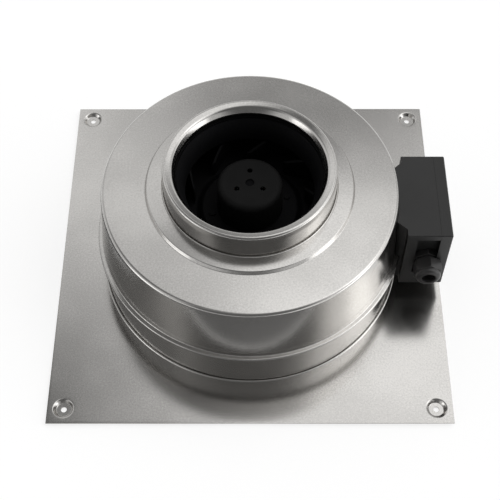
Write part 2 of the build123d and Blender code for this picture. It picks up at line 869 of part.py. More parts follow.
def motor_bracket():
    """Pressed spider: a disc under the motor, arms with lips, legs and feet on the plate."""
    foot = plate_top + rear_sheet + sheet_play
    skin = Wire(
        FilletPolyline(
            (0, bracket_top),
            (leg_radius, bracket_top),
            (leg_radius, foot + bracket_sheet),
            (foot_end_radius, foot + bracket_sheet),
            radius=[arm_bend_radius, arm_bend_radius - bracket_sheet],
        ).edges()
    )
    section = Face(skin.offset_2d(bracket_sheet, side=Side.RIGHT, closed=True))
    arm = extrude(Plane.XZ * section, arm_width / 2, both=True)
    for side in (-1, 1):
        edge = side * arm_width / 2
        arm += block(
            (bracket_disc_radius, leg_radius - arm_bend_radius),
            sorted((edge, edge - side * bracket_sheet)),
            (bracket_bottom - arm_lip_depth, bracket_top - bracket_sheet / 2),
        )
    for x, y in bracket_rivets:
        arm -= rod(rivet_hole_radius, plate_top, foot + 2 * bracket_sheet, x, y)
    bracket = rod(bracket_disc_radius, bracket_bottom, bracket_top)
    for copy in around(arm, arm_count):
        bracket += copy
    bracket -= rod(bracket_bore_radius, bracket_bottom - 1, bracket_top + 1)
    for x, y in motor_screw_places:
        bracket -= rod(motor_screw_radius + sheet_play, bracket_bottom - 1, bracket_top + 1, x, y)
    for x, y in clip_screw_places:
        bracket -= rod(clip_screw_radius + sheet_play, bracket_bottom - 1, bracket_top + 1, x, y)
    return bracket


def motor_screws():
    """Screws from below through the bracket into the stator's flange."""
    screws = []
    for x, y in motor_screw_places:
        screw = rod(motor_screw_radius, bracket_bottom - 1, motor_flange_top - motor_screw_end_gap, x, y)
        head = rod(motor_screw_head_radius, bracket_bottom - motor_screw_head_height, bracket_bottom, x, y)
        screws.append(screw + head)
    return screws


def plate_rivet(x, y, pile):
    """A rivet from under the plate through a pile of sheets."""
    top = plate_top + pile
    rivet = rod(rivet_radius, plate_bottom - rivet_head_height, top + rivet_tail_height, x, y)
    rivet += rod(rivet_head_radius, plate_bottom - rivet_head_height, plate_bottom, x, y)
    return rivet + rod(rivet_tail_radius, top, top + rivet_tail_height, x, y)


def bracket_rivet_group():
    """Rivets through the plate, the casing's foot flange and the bracket's feet."""
    pile = rear_sheet + sheet_play + bracket_sheet
    return [plate_rivet(x, y, pile) for x, y in rivet_places]


def casing_rivet_group():
    """Rivets through the plate and the casing's foot flange, between the feet."""
    return [plate_rivet(x, y, rear_sheet) for x, y in casing_rivet_places]


def standing(width, height):
    """A rectangle in Y and Z that stands on the bracket."""
    return Pos(0, bracket_top) * Rectangle(width, height, align=(Align.CENTER, Align.MIN))


def lead_clips():
    """Straps over the lead, screwed to the bracket's arm."""
    outer = lead_bore + clip_strap
    foot = 2 * (clip_foot + clip_foot_margin)
    strap = Pos(0, lead_level) * Circle(outer) + standing(2 * outer, lead_bore) + standing(foot, clip_strap)
    strap -= Pos(0, lead_level) * Circle(lead_bore) + standing(2 * lead_bore, lead_bore)
    strap = strap & standing(2 * foot, 2 * outer)
    clips = []
    for place in clip_places:
        clip = along_x(strap, place - clip_strap_width / 2, place + clip_strap_width / 2)
        for x, y in clip_screw_places:
            clip -= rod(clip_screw_radius + sheet_play, bracket_top - 1, bracket_top + 2 * clip_strap, x, y)
        clips.append(clip)
    return clips


def clip_screws():
    """Screws through the straps' feet into the bracket."""
    seat = bracket_top + clip_strap
    screws = []
    for x, y in clip_screw_places:
        screw = rod(clip_screw_radius, bracket_bottom - clip_screw_end, seat + clip_screw_head_height, x, y)
        screws.append(screw + rod(clip_screw_head_radius, seat, seat + clip_screw_head_height, x, y))
    return screws


def motor_lead():
    """Sheathed lead from the motor along the bracket's arm to the terminal block."""
    route = FilletPolyline(*lead_points, radius=lead_bends)
    start = Plane(origin=route @ 0, z_dir=route % 0)
    lead = sweep(start * Circle(lead_radius), path=route)
    wanted = pi * lead_radius ** 2 * route.length
    print("lead: length %.1f, bends %s, volume over section times length %.4f"
          % (route.length, lead_bends, lead.volume / wanted))
    return lead


def cable_grommet():
    """Rubber bush through the casing wall and the box's back wall."""
    near = wall_radius(lead_level) - grommet_inner_length
    lip = near - grommet_lip_length
    end = box_inside + grommet_flange_thickness
    bush = rod_x(grommet_neck_radius, near, box_inside, 0, lead_level)
    bush += rod_x(grommet_flange_radius, box_inside, end, 0, lead_level)
    bush += rod_x(lead_bore + clip_strap, lip, near, 0, lead_level)
    return bush - rod_x(lead_bore, lip - 1, end + 1, 0, lead_level)


def box_outline(inset):
    """The box's outline across X, set in by a wall or a rebate."""
    width = 2 * (box_half_width - inset)
    height = box_high - box_low - 2 * inset
    return Pos(0, (box_low + box_high) / 2) * RectangleRounded(width, height, box_corner_radius)


def pocket_outline(grow):
    """The recess for the gland in the box's -Y side, grown by a wall."""
    low = pocket_low - grow
    high = pocket_high + grow
    near = -box_half_width - 1
    return Pos((near + pocket_floor + grow) / 2, (low + high) / 2) * Rectangle(
        pocket_floor + grow - near, high - low
    )


def along_x(outline, near, far):
    """An outline in Y and Z carried along X."""
    place = Plane(origin=(near, 0, 0), x_dir=(0, 1, 0), z_dir=(1, 0, 0))
    return place * extrude(outline, far - near)


def box_base():
    """Moulded box: saddle on the casing, walls, gland recess, rebated rim and screw bosses."""
    body = along_x(box_outline(0), box_back, box_lid_seam)
    body += along_x(box_outline(lid_wall + lid_play), box_lid_seam, box_rim)
    cavity = along_x(box_outline(box_wall), box_inside, box_rim + 1)
    cavity -= along_x(pocket_outline(box_wall), pocket_left - box_wall, box_rim + 1)
    body -= cavity
    body -= along_x(pocket_outline(0), pocket_left, box_rim + 1)
    pad = make_face(
        Polyline(
            (box_back + 1, -pad_half_width - pad_spread),
            (box_back, -pad_half_width - pad_spread),
            (rim_radius - pad_reach, -pad_half_width),
            (rim_radius - pad_reach, pad_half_width),
            (box_back, pad_half_width + pad_spread),
            (box_back + 1, pad_half_width + pad_spread),
            close=True,
        )
    )
    body += Pos(0, 0, box_low) * extrude(pad, box_high - box_low)
    screw_end = box_rim - lid_screw_length - lid_screw_end_gap
    for y, z in lid_screw_places:
        body += rod_x(lid_boss_radius, box_inside - 1, box_rim - lid_boss_gap, y, z)
        body -= rod_x(lid_screw_radius + sheet_play, screw_end, box_rim + 1, y, z)
    near = rim_radius - pad_reach - 1
    for y, z in box_screw_places:
        body -= rod_x(box_screw_radius + sheet_play, near, box_inside + 1, y, z)
    body -= rod_x(grommet_neck_radius + lead_play, near, box_inside + 1, 0, lead_level)
    body -= gland_place * Cylinder(gland_thread_radius + lead_play, 4 * box_wall)
    return body - casing_outline(pad_gap)


def box_lid():
    """Shallow cap whose skirt closes over the box's rebated rim."""
    lid = along_x(box_outline(0), box_lid_seam + lid_play, box_front)
    lid = chamfer(lid.faces().sort_by(Axis.X)[-1].edges(), lid_edge)
    lid -= along_x(box_outline(lid_wall), box_lid_seam - 1, box_front - lid_top)
    lid -= gland_place * Cylinder(gland_thread_radius + gland_thread_depth, 4 * pocket_depth)
    for y, z in lid_screw_places:
        lid -= rod_x(lid_screw_radius + lid_screw_play, box_lid_seam, box_front + 1, y, z)
        well = box_front - lid_screw_head_height
        lid -= rod_x(lid_screw_head_radius + lid_screw_play, well, box_front + 1, y, z)
    return lid


def lid_gasket():
    """Flat seal on the rim, under the lid."""
    section = box_outline(lid_wall + lid_play) - (box_outline(box_wall) - pocket_outline(box_wall))
    section -= pocket_outline(0)
    return along_x(section, box_rim + sheet_play, box_rim + sheet_play + gasket_thickness)


def lid_screws():
    """Screws through the lid's corners into the box's bosses."""
    seat = box_front - lid_screw_head_height
    screws = []
    for y, z in lid_screw_places:
        screw = rod_x(lid_screw_radius, box_rim - lid_screw_length, seat + lid_screw_head_height / 2, y, z)
        screws.append(screw + rod_x(lid_screw_head_radius, seat, box_front, y, z))
    return screws


def box_screws():
    """Screws from inside the box into the casing's walls."""
    screws = []
    for y, z in box_screw_places:
        screw = rod_x(box_screw_radius, box_inside - box_screw_length, box_inside + 1, y, z)
        head = rod_x(box_screw_head_radius, box_inside, box_inside + box_screw_head_height, y, z)
        screws.append(screw + head)
    return screws


def gland_rod(radius, low, high):
    """A cylinder along the gland, between two distances from the recess's floor."""
    return Pos(0, 0, low) * Cylinder(radius, high - low, align=(Align.CENTER, Align.CENTER, Align.MIN))


def gland_hex(low, high, turn):
    """A hexagon of the gland with chamfered corners."""
    outline = Rot(0, 0, turn) * RegularPolygon(gland_across_flats / 2, 6, major_radius=False)
    prism = Pos(0, 0, low) * extrude(outline, high - low)
    barrel = gland_rod(gland_corner_radius, low, high)
    return prism & chamfer(barrel.edges().filter_by(GeomType.CIRCLE), gland_edge_length, gland_edge_depth)


def gland_body():
    """Gland's threaded tube and hexagonal collar on the recess's floor."""
    inner = -box_wall - gland_inner_thread
    outer = gland_seal_start - sheet_play
    body = gland_hex(0, gland_collar, gland_collar_turn)
    body += gland_rod(gland_thread_radius, inner, 0)
    body += gland_rod(gland_thread_radius - gland_thread_depth, gland_collar, outer)
    return gland_place * (body - gland_rod(gland_bore_radius, inner - 1, outer + 1))


def gland_nut():
    """Hexagonal cap with a domed end."""
    nut = gland_hex(gland_nut_start, gland_nut_face, gland_nut_turn)
    dome = gland_rod(gland_dome_radius, gland_nut_face - 1, gland_end)
    nut += fillet(dome.edges().sort_by(Axis.Z)[-1], gland_dome_round)
    thread = gland_thread_radius - gland_thread_depth + lead_play
    nut -= gland_rod(thread, gland_nut_start - 1, gland_nut_face - gland_nut_floor)
    nut -= gland_rod(gland_seat_radius, gland_nut_start, gland_end - gland_dome_wall)
    return gland_place * (nut - gland_rod(gland_mouth_radius, 0, gland_end + 1))


def gland_seal():
    """Rubber sleeve that grips the cable."""
    high = gland_end - gland_dome_wall - gland_thread_depth / 4
    sleeve = gland_rod(gland_seal_bore + gland_seal_wall, gland_seal_start, high)
    return gland_place * (sleeve - gland_rod(gland_seal_bore, gland_seal_start - 1, high + 1))


def gland_locknut():
    """Nut that holds the gland from inside the box."""
    high = -box_wall - sheet_play
    low = high - locknut_thickness
    nut = gland_hex(low, high, gland_collar_turn)
    return gland_place * (nut - gland_rod(gland_thread_radius + sheet_play, low - 1, high + 1))


def run_capacitor():
    """Round capacitor with two blade terminals on its top."""
    can = rod(capacitor_radius, capacitor_low, capacitor_high, capacitor_x, capacitor_y)
    can = fillet(can.edges().filter_by(GeomType.CIRCLE), capacitor_edge)
    thickness, width, height = capacitor_blade
    for side in (-1, 1):
        x = capacitor_x + side * capacitor_blade_spacing / 2
        can += block(
            (x - thickness / 2, x + thickness / 2),
            (capacitor_y - width / 2, capacitor_y + width / 2),
            (capacitor_high - 1, capacitor_high + height),
        )
    return can


def capacitor_clip():
    """Spring strap round the capacitor, with its foot on the box's back wall."""
    low = (capacitor_low + capacitor_high - capacitor_clip_height) / 2
    high = low + capacitor_clip_height
    inner = capacitor_radius + lead_play
    outer = inner + capacitor_clip_sheet
    foot = (capacitor_y - capacitor_clip_foot / 2, capacitor_y + capacitor_clip_foot / 2)
    clip = rod(outer, low, high, capacitor_x, capacitor_y)
    clip += block((box_inside, capacitor_x), foot, (low, high))
    clip -= block((capacitor_x + capacitor_clip_reach, capacitor_x + outer + 1), foot, (low - 1, high + 1))
    return clip - rod(inner, low - 1, high + 1, capacitor_x, capacitor_y)


terminal_places = [
    (side * block_size_y / 4, block_z[0] + (i + 0.5) * block_pole_pitch)
    for i in range(block_poles) for side in (-1, 1)
]


def terminal_block():
    """Three-pole block with screw wells and wire entries."""
    body = block(block_x, (-block_size_y / 2, block_size_y / 2), block_z)
    body = chamfer(body.edges().filter_by(Axis.Z), block_edge)
    floor = block_x[1] - block_screw_depth - block_screw_length - block_well_play / 2
    for y, z in terminal_places:
        body -= rod_x(block_screw_radius + block_well_play, floor, block_x[1] + 1, y, z)
        wire = Plane(origin=(block_x[1] - block_wire_depth, 0, z), x_dir=(1, 0, 0), z_dir=(0, 1, 0))
        body -= wire * Cylinder(block_wire_radius, 2 * block_size_y)
    return body


def terminal_screws():
    """Slotted screws in the block's wells."""
    top = block_x[1] - block_screw_depth
    screws = []
    for y, z in terminal_places:
        screw = rod_x(block_screw_radius, top - block_screw_length, top, y, z)
        screws.append(screw - block(
            (top - block_slot_depth, top + 1),
            (y - block_slot_width / 2, y + block_slot_width / 2),
            (z - 2 * block_screw_radius, z + 2 * block_screw_radius),
        ))
    return screws


nodes = {
    "wall_plate": wall_plate,
    "rear_casing": rear_casing,
    "front_casing": front_casing,
    "inlet_spigot": inlet_spigot,
    "inlet_nozzle": inlet_nozzle,
    "nozzle_studs": nozzle_studs,
    "nozzle_nuts": nozzle_nuts,
    "casing_rivets": casing_rivet_group,
    "bracket_rivets": bracket_rivet_group,
    "motor_bracket": motor_bracket,
    "motor_screws": motor_screws,
    "stator_flange": stator_flange,
    "stator_core": stator_core,
    "stator_windings": stator_windings,
    "preload_washer": preload_washer,
    "bearing_outer_rings": bearing_outer_rings,
    "bearing_balls": bearing_balls,
    "bearing_cages": bearing_cages,
    "bearing_inner_rings": bearing_inner_rings,
    "motor_shaft": motor_shaft,
    "circlip": circlip,
    "rotor_can": rotor_can,
    "rotor_ring": rotor_ring,
    "impeller_wheel": impeller_wheel,
    "impeller_shroud": impeller_shroud,
    "wheel_rivets": wheel_rivets,
    "motor_lead": motor_lead,
    "lead_clips": lead_clips,
    "clip_screws": clip_screws,
    "cable_grommet": cable_grommet,
    "box_base": box_base,
    "box_screws": box_screws,
    "box_lid": box_lid,
    "lid_gasket": lid_gasket,
    "lid_screws": lid_screws,
    "terminal_block": terminal_block,
    "terminal_screws": terminal_screws,
    "run_capacitor": run_capacitor,
    "capacitor_clip": capacitor_clip,
    "gland_body": gland_body,
    "gland_nut": gland_nut,
    "gland_seal": gland_seal,
    "gland_locknut": gland_locknut,
}

os.makedirs("parts", exist_ok=True)
for name, make in nodes.items():
    shape = make()
    if isinstance(shape, list):
        shape = Compound(children=[Part(item.wrapped) if not isinstance(item, Part) else item for item in shape])
    shape.label = name
    export_step(shape, "parts/" + name + ".step")
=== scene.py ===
import json
import math

import bmesh
import bpy
from bpy.props import FloatProperty, FloatVectorProperty, PointerProperty
from mathutils import Matrix, Vector


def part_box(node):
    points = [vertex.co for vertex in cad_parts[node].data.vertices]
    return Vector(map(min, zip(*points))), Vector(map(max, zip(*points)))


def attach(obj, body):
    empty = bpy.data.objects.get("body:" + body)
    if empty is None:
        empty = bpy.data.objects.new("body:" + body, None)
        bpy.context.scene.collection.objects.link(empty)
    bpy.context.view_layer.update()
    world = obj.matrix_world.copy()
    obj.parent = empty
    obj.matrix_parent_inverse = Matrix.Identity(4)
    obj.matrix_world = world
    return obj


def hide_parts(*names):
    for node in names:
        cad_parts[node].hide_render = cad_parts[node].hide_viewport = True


bl_info = {
    "name": "Centrifugal wall fan",
    "version": (1, 0, 0),
    "blender": (4, 5, 0),
    "location": "3D View > Sidebar > Wall fan",
    "description": "Dresses a centrifugal wall fan in zinc-coated sheet and black mouldings",
    "category": "Object",
}

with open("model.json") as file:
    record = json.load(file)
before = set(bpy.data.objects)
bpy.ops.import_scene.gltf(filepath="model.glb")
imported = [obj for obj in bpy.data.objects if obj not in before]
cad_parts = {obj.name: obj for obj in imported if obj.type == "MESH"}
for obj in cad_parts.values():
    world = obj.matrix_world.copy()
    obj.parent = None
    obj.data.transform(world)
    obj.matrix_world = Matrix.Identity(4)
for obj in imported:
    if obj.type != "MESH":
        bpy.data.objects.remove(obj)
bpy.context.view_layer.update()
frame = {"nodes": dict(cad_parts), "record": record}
nodes = frame["nodes"]

MM = 0.001
TURN = 2 * math.pi
PLATE_LOW, PLATE_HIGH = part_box("wall_plate")
BAND_LOW, BAND_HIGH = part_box("rear_casing")
SHELL_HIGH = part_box("front_casing")[1]
SPIGOT_LOW, SPIGOT_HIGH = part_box("inlet_spigot")
ROTOR_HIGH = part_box("rotor_can")[1]
FOOT_LEVEL = BAND_LOW[2]

# How finely turned pieces, dimples and the bead's half circle are divided
ROUND_STEPS = 240
DIMPLE_STEPS = 48
BEAD_STEPS = 8

# Outputs of the Light Path node for camera, glossy and transmission rays
SEEING_RAYS = (0, 3, 6)
# The floor doesn't glow inside the first radius, where the plate covers it, and glows fully from the second
GLOW_FROM = (0.14, 0.17)
# The studio's grey level, then its soft boxes and flags: degrees round the fan from its back towards its
# right and degrees up, the angles from there of full and of no effect, and what it adds
STUDIO_LEVEL = 0.9
STUDIO_DARKEST = 0.12
STUDIO = (
    (178, 37, 29, 45, -0.70),
    (-75, 64, 14, 32, -0.62),
    (-22, 64, 4, 8, -0.30),
    (-20, 49, 7, 15, 0.26),
    (8, 41, 8, 17, -0.50),
    (42, 66, 14, 28, 0.65),
    (92, 49, 8, 28, 0.85),
    (90, 49, 5, 12, 1.40),
    (92, 8, 12, 30, 0.90),
    (112, 4, 8, 18, 2.20),
    (-112, 4, 8, 18, 1.80),
)
# Grey cards on the floor: name, then left, right, front, back and greyness
FLAGS = (
    ("front_flag", -0.45, 0.17, -0.9, -0.19, 0.24),
    ("left_flag", -0.75, -0.19, -0.185, 0.12, 0.15),
)


def length(name, default, text):
    """A settable length in metres, given in millimetres."""
    return FloatProperty(name=name, description=text, default=default * MM, unit="LENGTH", precision=5)


def angle(name, default, text):
    """A settable angle, given in degrees."""
    return FloatProperty(name=name, description=text, default=math.radians(default), subtype="ANGLE")


def colour(name, default, text):
    """A settable linear colour."""
    return FloatVectorProperty(
        name=name, description=text, default=default, subtype="COLOR", size=3, min=0, max=1)


def share(name, default, text):
    """A settable number from nought to one."""
    return FloatProperty(name=name, description=text, default=default, min=0, max=1, subtype="FACTOR")


class FanSizes(bpy.types.PropertyGroup):
    plate_side: length("Plate side", (PLATE_HIGH[0] - PLATE_LOW[0]) / MM, "Side of the square wall plate")
    plate_sheet: length("Plate sheet", 1.5, "Thickness of the wall plate")
    plate_edge: length("Plate edge", 0.25, "Bevel on the wall plate's edges")
    hole_spacing: length("Hole spacing", 340.0, "Distance between the wall holes")
    hole_radius: length("Hole radius", 2.6, "Radius of a wall hole")
    dimple_depth: length("Dimple depth", 3.2, "How far a corner dimple is pressed back")
    dimple_rim: length("Dimple rim", 9.2, "Radius of a dimple's rim")
    dimple_floor: length("Dimple floor", 6.8, "Radius of a dimple's flat floor")
    dimple_floor_bend: length("Dimple floor bend", 1.9, "Bend radius round a dimple's floor")
    dimple_rim_bend: length("Dimple rim bend", 0.8, "Bend radius at a dimple's rim")
    dimple_margin: length("Dimple margin", 3.0, "Width of the flat ring round a dimple")
    outlet_radius: length("Outlet radius", 124.0, "Radius of the opening in the wall plate")
    bead_radius: length("Bead radius", 1.0, "Radius of the locating bead round the casing's foot")
    bead_margin: length("Bead margin", 8.0, "Width of the flat ring round the bead's middle")
    band_radius: length("Band radius", 142.0, "Outer radius of the rear casing")
    rear_sheet: length("Rear sheet", 1.2, "Thickness of the rear casing")
    foot_flange: length("Foot flange", 15.0, "Width of the rear casing's flange on the plate")
    foot_bend: length("Foot bend", 1.8, "Bend radius of that flange")
    seam_flange_bend: length("Seam flange bend", 0.3, "Bend radius of the rear casing's seam flange")
    front_sheet: length("Front sheet", 1.0, "Thickness of the front casing")
    seam_height: length("Seam height", 46.0, "Top of the folded seam above the plate")
    seam_depth: length("Seam depth", 3.3, "Depth of the folded seam")
    hem_reach: length("Hem reach", 0.6, "How far outside the band's radius the hem ends")
    hem_bend: length("Hem bend", 1.2, "Bend radius of the hem's two folds")
    wall_foot_inset: length("Wall inset", 0.95, "How far the front wall starts inside the band's radius")
    wall_foot_bend: length("Wall foot bend", 0.6, "Bend radius at the foot of the front wall")
    rim_radius: length("Rim radius", 135.75, "Outer radius at the front casing's rim")
    rim_bend: length("Rim bend", 3.5, "Bend radius of the rim")
    casing_height: length("Casing height", 109.3, "Rim above the plate")
    annulus_rise: length("Annulus rise", 0.75, "Rise of the annulus towards its step")
    step_foot: length("Step foot radius", 95.8, "Radius at the foot of the collar's step")
    step_top: length("Step top radius", 94.0, "Radius at the top of the collar's step")
    step_height: length("Step height", 2.95, "Height of the collar's step")
    step_foot_bend: length("Step foot bend", 0.6, "Bend radius at the foot of the collar's step")
    step_top_bend: length("Step top bend", 1.0, "Bend radius at the top of the collar's step")
    collar_rise: length("Collar rise", 0.9, "Rise of the collar towards the spigot")
    collar_hole_bend: length("Collar hole bend", 0.7, "Bend radius at the edge of the collar's hole")
    spigot_radius: length("Spigot radius", 78.75, "Outer radius of the duct spigot")
    spigot_foot_bend: length("Spigot foot bend", 1.3, "Bend radius between the spigot and its flange")
    lip_crest: length("Lip crest radius", 77.4, "Radius of the lip's outer corner, where the taper ends")
    lip_taper: length("Lip taper", 6.0, "Height of the lead-in taper below the crest")
    lip_taper_bend: length("Lip taper bend", 12.0, "Bend radius where the taper starts")
    lip_rise: length("Lip rise", 0.48, "How far the lip's unrounded corner is above its crest")
    lip_shoulder: length("Lip shoulder radius", 70.3, "Radius where the lip turns down inwards")
    lip_fall: length("Lip fall", 1.5, "How far the lip's top falls towards that shoulder")
    lip_throat: length("Lip throat radius", 66.9, "Radius where the lip gets steep")
    lip_dive: length("Lip dive", 7.2, "How far that point is below the outer corner")
    lip_edge: length("Lip edge radius", 66.6, "Radius of the lip's inner edge")
    lip_drop: length("Lip drop", 13.0, "How far the lip's inner edge is below its outer corner")
    lip_outer_bend: length("Lip outer bend", 2.4, "Bend radius of the lip's outer corner")
    lip_inner_bend: length("Lip inner bend", 4.0, "Bend radius of the lip's inner bends")


class FanFinish(bpy.types.PropertyGroup):
    zinc: colour("Zinc", (0.57, 0.558, 0.54), "Colour of the zinc-coated sheet")
    moulding: colour("Moulding", (0.017, 0.017, 0.0166), "Colour of the black mouldings")
    # The wheel's near-black, darker than the box's moulding, is black plastic plus painted shade of the
    # throat; the nozzle, the wheel's rivets and the shaft's end take it too
    wheel: colour("Wheel", (0.004, 0.004, 0.0045), "Colour of the wheel and the nozzle")
    rotor: colour("Rotor", (0.012, 0.012, 0.012), "Colour of the rotor's paint")
    zinc_roughness: share("Zinc roughness", 0.14, "Roughness of the zinc-coated sheet")
    grain: share("Grain", 0.08, "Strength of the sheet's fine grain")


class FanStage(bpy.types.PropertyGroup):
    focal: FloatProperty(
        name="Focal length", description="Lens on a 36 mm sensor", default=77.42, unit="CAMERA")
    elevation: angle("Elevation", 56.966, "Camera's angle above the plate")
    yaw: angle("Yaw", 0.101, "Camera's turn round the fan")
    roll: angle("Roll", -0.124, "Camera's roll")
    distance: length("Distance", 1072.7, "From the camera to the plate's middle")
    aim: length("Aim", 1.65, "How far behind the plate's middle the camera aims")
    floor: colour("Floor", (0.45, 0.45, 0.45), "Colour of the floor under the light")
    floor_glow: share("Floor glow", 0.70, "Light that the floor adds for the camera and reflections")
    flag: share("Flag", 1.0, "Lightness of the grey cards that the metal reflects")


class Sock:
    """A shader socket or number, with Python's operators as Math nodes."""

    def __init__(self, graph, value):
        self.graph = graph
        self.value = value

    def math(self, operation, *others):
        values = [self.value] + [o.value if isinstance(o, Sock) else o for o in others]
        return self.graph.node("ShaderNodeMath", {"operation": operation}, dict(enumerate(values)))

    def __add__(self, other):
        return self.math("ADD", other)

    def __mul__(self, other):
        return self.math("MULTIPLY", other)

    def __sub__(self, other):
        return self.math("SUBTRACT", other)

    def __rsub__(self, other):
        return Sock(self.graph, other).math("SUBTRACT", self)

    __radd__ = __add__
    __rmul__ = __mul__

    def ramp(self, low, high):
        """Nought below low, one above high, and smooth between."""
        inputs = {"Value": self, "From Min": low, "From Max": high}
        return self.graph.node("ShaderNodeMapRange", {"interpolation_type": "SMOOTHSTEP"}, inputs)


class Graph:
    """A node tree that is built by one method."""

    def __init__(self, tree):
        self.tree = tree
        tree.nodes.clear()

    def node(self, kind, settings=None, inputs=None, out=0):
        """Adds a node, sets it up, links or fills its sockets and returns one output."""
        made = self.tree.nodes.new(kind)
        for key, value in (settings or {}).items():
            setattr(made, key, value)
        for key, value in (inputs or {}).items():
            source = value.value if isinstance(value, Sock) else value
            if isinstance(source, bpy.types.NodeSocket):
                self.tree.links.new(source, made.inputs[key])
            else:
                made.inputs[key].default_value = source
        return Sock(self, made.outputs[out]) if made.outputs else made

    def mix(self, factor, first, second):
        """A colour between two colours."""
        inputs = {0: factor, 6: first, 7: second}
        return self.node("ShaderNodeMix", {"data_type": "RGBA", "clamp_factor": True}, inputs, out=2)

    def place(self, scale=(1, 1, 1)):
        """Object coordinates, stretched."""
        where = self.node("ShaderNodeTexCoord", out=3)
        return self.node("ShaderNodeMapping", inputs={"Vector": where, "Scale": scale})

    def noise(self, scale, detail=2.0, place=None):
        inputs = {"Vector": place or self.place(), "Scale": scale, "Detail": detail}
        return self.node("ShaderNodeTexNoise", inputs=inputs)

    def bump(self, height, depth, strength=1.0):
        return self.node("ShaderNodeBump", inputs={"Height": height, "Distance": depth, "Strength": strength})

    def surface(self, **inputs):
        """The Principled shader on the output."""
        keys = {key.replace("_", " "): value for key, value in inputs.items()}
        shader = self.node("ShaderNodeBsdfPrincipled", inputs=keys)
        self.node("ShaderNodeOutputMaterial", inputs={"Surface": shader})


def rgba(value, gain=1.0):
    """A colour with its alpha, lightened or darkened."""
    return (*[min(1.0, c * gain) for c in value], 1.0)


def new_material(name):
    made = bpy.data.materials.new(name)
    made.use_nodes = True
    return made, Graph(made.node_tree)


def finish(name):
    """A colour or number of the finish settings."""
    return getattr(bpy.context.scene.fan_finish, name)


def zinc_sheet():
    """Satin zinc-coated sheet: fine sandy grain, faint clouding and soft reflections."""
    made, g = new_material("zinc_sheet")
    cloud = g.noise(9.0, 3.0).ramp(0.3, 0.7)
    grain = g.noise(1300.0, 2.0)
    speck = g.noise(620.0, 3.0)
    tone = cloud * 0.3 + grain * 0.1 + speck * 0.6
    base = g.mix(tone.ramp(0.25, 0.75), rgba(finish("zinc"), 0.86), rgba(finish("zinc"), 1.12))
    rough = finish("zinc_roughness") + grain * 0.05 + cloud * 0.02
    bump = g.bump(grain * 0.6 + speck * 0.4, 0.00006, finish("grain"))
    g.surface(Base_Color=base, Metallic=1.0, Roughness=rough, Normal=bump)
    return made


def moulding(name, base, roughness, texture, depth, shine=0.5):
    """Black moulded plastic with a fine eroded texture."""
    made, g = new_material(name)
    grit = g.noise(texture, 2.0)
    wide = g.noise(14.0, 3.0)
    tint = g.mix(wide.ramp(0.35, 0.65), rgba(base, 0.8), rgba(base, 1.25))
    rough = roughness + grit * 0.12 - 0.06
    g.surface(Base_Color=tint, Roughness=rough, Normal=g.bump(grit, depth, 0.5), Specular_IOR_Level=shine)
    return made


def metal(name, base, roughness, grain_scale):
    """Plain small metal part with fine machining marks."""
    made, g = new_material(name)
    marks = g.noise(grain_scale, 2.0, g.place(scale=(1, 1, 6)))
    tint = g.mix(marks, rgba(base, 0.82), rgba(base, 1.15))
    rough = roughness + marks * 0.12
    g.surface(Base_Color=tint, Metallic=1.0, Roughness=rough, Normal=g.bump(marks, 0.00004, 0.4))
    return made


def shaft(name, base, roughness, grain_scale):
    """Ground shaft, whose end in the rotor's face is painted in the wheel's near-black, which carries painted
    shade of the throat.
    """
    made, g = new_material(name)
    marks = g.noise(grain_scale, 2.0, g.place(scale=(1, 1, 6)))
    height = g.node("ShaderNodeSeparateXYZ", inputs={"Vector": g.node("ShaderNodeTexCoord", out=3)}, out=2)
    paint = height.ramp(ROTOR_HIGH[2] - 3 * MM, ROTOR_HIGH[2] - 2.5 * MM)
    steel = g.mix(marks, rgba(base, 0.82), rgba(base, 1.15))
    # The shaft's end gets black paint in the wheel's near-black, which also carries painted shade of the
    # throat
    tint = g.mix(paint, steel, rgba(finish("wheel")))
    rough = roughness + marks * 0.12 + paint * 0.3
    bump = g.bump(marks, 0.00004, 0.4)
    g.surface(Base_Color=tint, Metallic=1 - paint, Roughness=rough, Normal=bump, Specular_IOR_Level=0.04)
    return made


